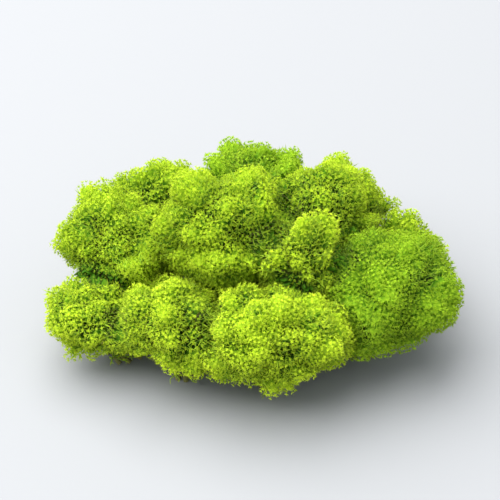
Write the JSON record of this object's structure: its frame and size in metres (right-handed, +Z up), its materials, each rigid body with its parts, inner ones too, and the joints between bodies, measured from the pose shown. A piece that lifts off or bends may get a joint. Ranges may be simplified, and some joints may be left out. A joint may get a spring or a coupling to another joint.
{
  "type": "reindeer moss clump",
  "caption": "Cushion of preserved reindeer moss: rounded heads of forked branchlets pressed together on short stalks, resting on flat feet.",
  "frame": {"origin": "middle of the flat foot under the highest head, on the surface that the clump rests on", "axes": "+Z up, +X along the clump's length to the right as the picture shows it, -Y towards the picture's viewer"},
  "size_m": [0.1089, 0.0827, 0.0513],
  "materials": {
    "lichen_yellow_lime": "matte",
    "lichen_lime": "matte",
    "lichen_leaf_green": "matte"
  },
  "bodies": {
    "root": {"head_middle": "lichen_lime", "head_front": "lichen_yellow_lime", "head_ridge": "lichen_yellow_lime", "head_front_left": "lichen_yellow_lime", "head_left": "lichen_lime", "head_left_low": "lichen_yellow_lime", "head_right": "lichen_leaf_green", "head_right_top": "lichen_lime", "head_right_end": "lichen_lime", "head_back": "lichen_leaf_green", "head_back_left": "lichen_lime", "head_back_right": "lichen_lime"}
  },
  "joints": []
}
